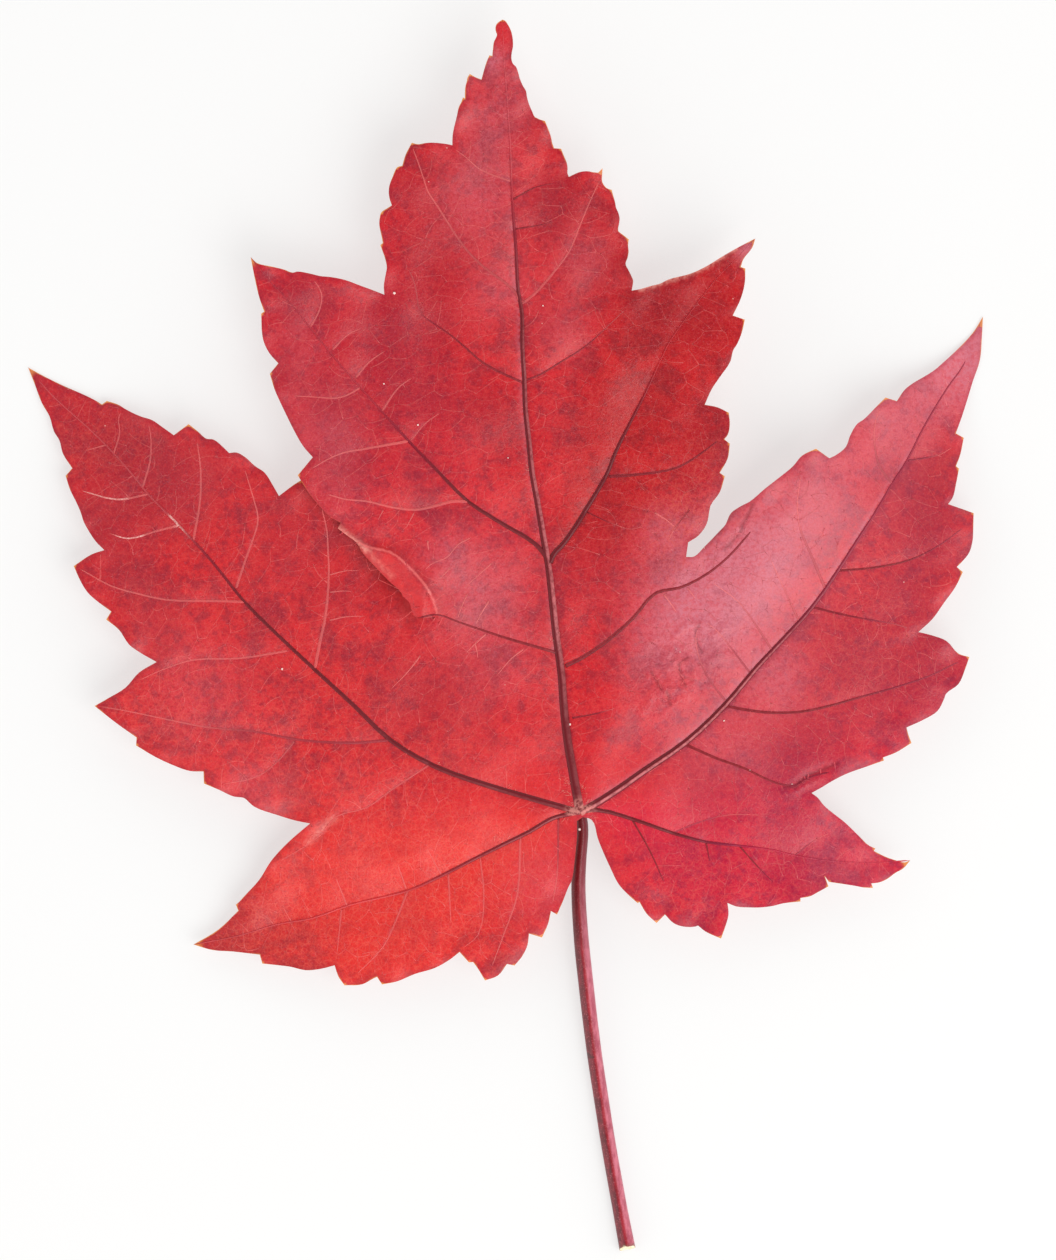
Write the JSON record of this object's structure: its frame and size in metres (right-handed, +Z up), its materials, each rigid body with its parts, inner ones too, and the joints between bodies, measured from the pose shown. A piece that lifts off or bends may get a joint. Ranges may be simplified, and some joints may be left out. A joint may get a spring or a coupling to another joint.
{
  "type": "maple leaf",
  "caption": "Fallen red maple leaf with pointed toothed lobes, raised veins and a bare stalk, lying face up on its lobe tips and stalk end.",
  "frame": {"origin": "on the table the leaf lies on, under the middle of the leaf's box", "axes": "+Y from the cut end of the stalk to the tip of the middle lobe, +Z up out of the leaf's upper side"},
  "size_m": [0.1196, 0.1538, 0.0098],
  "materials": {
    "leaf_blade": "crimson with darker mottling, waxy satin sheen above, paler and duller below",
    "main_veins": "dark maroon ribs with a pale pink crest, satin",
    "side_veins": "fine pink ribs, satin",
    "stalk": "smooth maroon, paler along its lit side, cream at the cut end"
  },
  "bodies": {
    "root": {"maple_leaf": "leaf_blade"}
  },
  "joints": []
}
